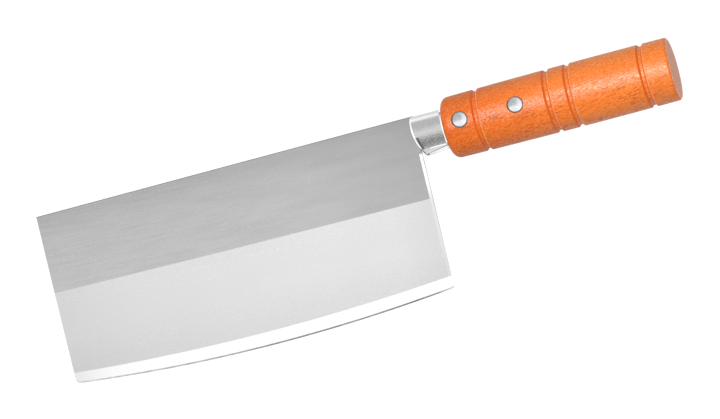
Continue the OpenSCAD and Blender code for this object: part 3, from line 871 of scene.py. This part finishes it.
def handle_profile():
    """(x, radius) from the middle of the front face to the middle of the butt, and how
    many points come before the butt's rounding."""
    face = [(0.0, r) for r in FACE_RINGS]
    front = [(FRONT_ROUND * (1 - math.cos(a)),
              barrel_radius(FRONT_ROUND) - FRONT_ROUND * (1 - math.sin(a)))
             for a in map(math.radians, FACE_TURNS)]
    end = HANDLE_LENGTH - BUTT_DOME
    butt_radius = barrel_radius(end - BUTT_ROUND)
    butt = [(end - BUTT_ROUND * (1 - math.sin(a)), butt_radius - BUTT_ROUND * (1 - math.cos(a)))
            for a in map(math.radians, BUTT_TURNS)]
    half = GROOVE_WIDTH / 2
    xs = set(spread(FRONT_ROUND, end - BUTT_ROUND, SIDE_STEPS))
    for place in GROOVES:
        xs = {x for x in xs if abs(x - place) > half}
        xs |= {place + half * s for s in spread(-1, 1, GROOVE_STEPS)}
    side = [(x, barrel_radius(x) - groove_cut(x)) for x in sorted(xs)]
    flat = butt[-1][1]
    dome = [(HANDLE_LENGTH - BUTT_DOME * (r / flat) ** 2, r)
            for r in spread(flat, 0, BUTT_STEPS)[1:]]
    return face + front + side + butt + dome, len(face + front + side)


def side_finish(x):
    """The finish of the handle's side at x."""
    for place in GROOVES:
        share = (x - place) / (GROOVE_WIDTH / 2)
        if abs(share) < 1:
            return next(slot for end, slot in GROOVE_FINISHES if share < end)
    return WOOD_SIDE


def make_handle():
    """The turned handle, less the tang's slot, the rivets' bores and their counterbores."""
    profile, butt = handle_profile()
    slots = []
    for i in range(1, len(profile) - 2):
        if i < butt - 1:
            slots.append(side_finish((profile[i][0] + profile[i + 1][0]) / 2))
        else:
            slots.append(next(slot for end, slot in BUTT_FINISHES if i - butt < end))
    handle = lathe("cleaver_handle", profile,
                   lambda s, r, a: (s, r * math.cos(a), r * math.sin(a)),
                   HANDLE_MATERIALS, slots, HANDLE_SEGMENTS)
    cutters = [prism("slot", tang_outline(-CUTTER_REACH, TANG_GAP), *TANG_SLOT_SIDES,
                     HANDLE_MATERIALS, WOOD_END)]
    for x in RIVETS.values():
        bore = disc(x, TANG_RISE, BARREL_RADIUS + BARREL_GAP, BORE_STEPS)
        cutters.append(prism("bore", bore, -CUTTER_REACH, CUTTER_REACH, HANDLE_MATERIALS,
                             WOOD_END))
        head = disc(x, TANG_RISE, HEAD_RADIUS + HEAD_GAP, HEAD_STEPS)
        # The counterbores' walls take the painted shade.
        for low, high in ((seat_z(x), CUTTER_REACH), (-CUTTER_REACH, -seat_z(x))):
            cutters.append(prism("counterbore", head, low, high, HANDLE_MATERIALS, WOOD_SHADE))
    cut(handle, cutters)
    clean(handle, HANDLE_SHARP)
    return handle


# Rivets

RIVET_MATERIALS = [RIVET, RIVET_RIM_SHADE]
SLOT_HEAD, SLOT_HEAD_SHADE = range(2)
# The rounding between a head's dome and its rim, its turns in degrees, and steps over the dome, the
# last two of which take the rim's painted shade
HEAD_EASE, HEAD_TURNS, DOME_STEPS = 0.22, range(15, 91, 15), 14
RIVET_SEGMENTS = 72


def seat_z(x):
    """Height of the seat that a rivet's head stands on."""
    return math.sqrt(barrel_radius(x) ** 2 - TANG_RISE ** 2) - HEAD_DOME - HEAD_RIM


def head_profile():
    """(height over the seat, radius) from the dome's top to the foot of the rim."""
    dome = (HEAD_RADIUS ** 2 + HEAD_DOME ** 2) / (2 * HEAD_DOME)
    rows = [(HEAD_RIM + HEAD_DOME - dome + math.sqrt(dome ** 2 - r ** 2), r)
            for r in spread(0, HEAD_RADIUS - HEAD_EASE, DOME_STEPS)]
    start = rows[-1][0]
    rows += [(start - HEAD_EASE * (1 - math.cos(a)), HEAD_RADIUS - HEAD_EASE * (1 - math.sin(a)))
             for a in map(math.radians, HEAD_TURNS)]
    return rows + [(0.0, HEAD_RADIUS)]


def make_rivet(name, x, side, tail):
    """One rivet half: its head on the side given, 1 up or -1 down, and its tail below."""
    seat = seat_z(x)
    profile = head_profile() + tail
    slots = [SLOT_HEAD] * (DOME_STEPS - 2)
    # The outer ring of the head takes the painted shade.
    slots += [SLOT_HEAD_SHADE] * (len(profile) - 3 - len(slots))
    return lathe(name, profile,
                 lambda s, r, a: (x + r * math.cos(a), TANG_RISE + r * math.sin(a),
                                  side * (seat + s)), RIVET_MATERIALS, slots, RIVET_SEGMENTS)


def socket_tail(x):
    """The barrel of a hollow half with its bore, from the seat to the bore's end."""
    depth, bore = 2 * seat_z(x) - END_GAP, SHANK_RADIUS + SHANK_GAP
    return [(0, BARREL_RADIUS), (-depth, BARREL_RADIUS), (-depth, bore), (-END_GAP, bore),
            (-END_GAP, 0)]


def pin_tail(x):
    """The shank of a solid half, from the seat to its end."""
    reach = 2 * seat_z(x) - 2 * END_GAP
    return [(0, SHANK_RADIUS), (-reach, SHANK_RADIUS), (-reach, 0)]


# The pieces and what they stand for

def place_piece(piece, node):
    """Ties a piece to the body and hides the CAD node that it stands for."""
    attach(piece, BODY)
    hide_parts(node)


place_piece(make_blade(), "blade")
place_piece(make_bolster(), "bolster")
HANDLE = make_handle()
place_piece(HANDLE, "handle")
for where, x in RIVETS.items():
    place_piece(make_rivet(f"rivet_{where}_upper", x, 1, socket_tail(x)),
                f"{where}_rivet_socket")
    place_piece(make_rivet(f"rivet_{where}_lower", x, -1, pin_tail(x)),
                f"{where}_rivet_pin")


# Stage

# The floor, and the two places in X and Z where the knife touches it
FLOOR_REACH, FLOOR_CELLS, FLOOR_GAP, FLOOR_GLOW = 4000.0, 8, 0.05, 0.97
CONTACT_FRONT, CONTACT_HANDLE = (SPINE_FRONT_X, -BLADE_THICKNESS / 2), (4.0, -14.9)
# The long light that shows in the handle's lacquer alone
SOFTBOX_PLACE, SOFTBOX_TARGET = (-90, 150, 2000), (60, 0, 0)
SOFTBOX_SIZE, SOFTBOX_BRIGHTNESS = (300, 1800), 40.0
# Light from each part of the dome, by its direction across the knife: -1 is the horizon
# on the edge's side, 0 straight overhead, 1 the horizon on the spine's side. OVERHEAD
# holds above the knife, ASIDE further along it
OVERHEAD = ((-1.0, 0.9), (-0.95, 0.8), (-0.86, 1.2), (-0.8, 1.1), (-0.7, 0.15), (-0.5, 0.02),
            (-0.35, 0.02), (-0.18, 1.1), (0.04, 1.35), (0.075, 0.78), (0.2, 0.62), (0.5, 0.66),
            (0.62, 1.0), (0.72, 1.4), (0.85, 1.7), (1.0, 1.8))
ASIDE = ((-1.0, 0.15), (-0.8, 1.45), (-0.25, 1.02), (-0.12, 1.46), (0.3, 1.0), (0.6, 0.75),
         (1.0, 0.2))
# From and to which direction along the knife, towards the butt and towards the blade's
# front, one turns into the other
TO_BUTT, TO_FRONT = (-0.14, -0.02), (-0.6, -0.75)
DOME_PEAK = 2.5


def make_floor():
    """A large pale floor. The knife lies on it with its front edge and its handle."""
    slope = (CONTACT_HANDLE[1] - CONTACT_FRONT[1]) / (CONTACT_HANDLE[0] - CONTACT_FRONT[0])
    places = spread(-FLOOR_REACH, FLOOR_REACH, FLOOR_CELLS)
    points = [(x, y, CONTACT_FRONT[1] + slope * (x - CONTACT_FRONT[0]) - FLOOR_GAP)
              for y in places for x in places]
    f = Finish("floor_white", (0.15, 0.15, 0.15), Roughness=0.9, Specular_IOR_Level=0.1,
               Emission_Color=(1, 1, 1, 1), Emission_Strength=FLOOR_GLOW)
    cloud = f.noise((0.002, 0.002, 0.002), detail=2)
    f.put("Base Color", f.ramp(cloud, (0.3, 0.14), (0.7, 0.16)))
    faces = grid_faces(len(places), len(places))
    floor = mesh_object("floor", points, faces, [0] * len(faces), [f.material])


def make_softbox(lit):
    """A rectangular light that shines on the pieces in lit alone."""
    width, length = (size * MM for size in SOFTBOX_SIZE)
    data = bpy.data.lights.new("softbox", "AREA")
    data.shape, data.size, data.size_y = "RECTANGLE", width, length
    data.energy = SOFTBOX_BRIGHTNESS * math.pi * width * length
    light = bpy.data.objects.new("softbox", data)
    light.location = metres(SOFTBOX_PLACE)
    look = metres(SOFTBOX_TARGET) - light.location
    light.rotation_euler = look.to_track_quat("-Z", "Y").to_euler()
    light.visible_camera = False
    bpy.context.scene.collection.objects.link(light)
    receivers = bpy.data.collections.new("softbox")
    for piece in lit:
        receivers.objects.link(piece)
    light.light_linking.receiver_collection = receivers


def make_dome():
    """The studio's light all round: OVERHEAD above the knife, ASIDE towards its ends."""
    world = bpy.data.worlds.new("studio")
    world.use_nodes = True
    nodes, links = world.node_tree.nodes, world.node_tree.links
    background = nodes["Background"]
    split = nodes.new("ShaderNodeSeparateXYZ")
    links.new(nodes.new("ShaderNodeTexCoord").outputs["Generated"], split.inputs[0])

    def share(axis, start, end):
        made = nodes.new("ShaderNodeMapRange")
        made.inputs["From Min"].default_value = start
        made.inputs["From Max"].default_value = end
        links.new(split.outputs[axis], made.inputs["Value"])
        return made.outputs[0]

    def brightness(stops):
        ramp = nodes.new("ShaderNodeValToRGB")
        links.new(share("Y", -1.0, 1.0), ramp.inputs["Fac"])
        fill_ramp(ramp.color_ramp, [((direction + 1) / 2, light / DOME_PEAK)
                                    for direction, light in stops])
        return ramp.outputs["Color"]

    beside = nodes.new("ShaderNodeMath")
    beside.operation = "MAXIMUM"
    links.new(share("X", *TO_BUTT), beside.inputs[0])
    links.new(share("X", *TO_FRONT), beside.inputs[1])
    mixed = nodes.new("ShaderNodeMix")
    mixed.data_type = "RGBA"
    links.new(beside.outputs[0], mixed.inputs[MIX_FACTOR])
    links.new(brightness(OVERHEAD), mixed.inputs[MIX_A])
    links.new(brightness(ASIDE), mixed.inputs[MIX_B])
    links.new(mixed.outputs[MIX_RESULT], background.inputs["Color"])
    background.inputs["Strength"].default_value = DOME_PEAK
    bpy.context.scene.world = world


make_floor()
make_softbox([HANDLE])
make_dome()
bpy.context.scene.view_settings.view_transform = "Standard"

bpy.context.view_layer.update()
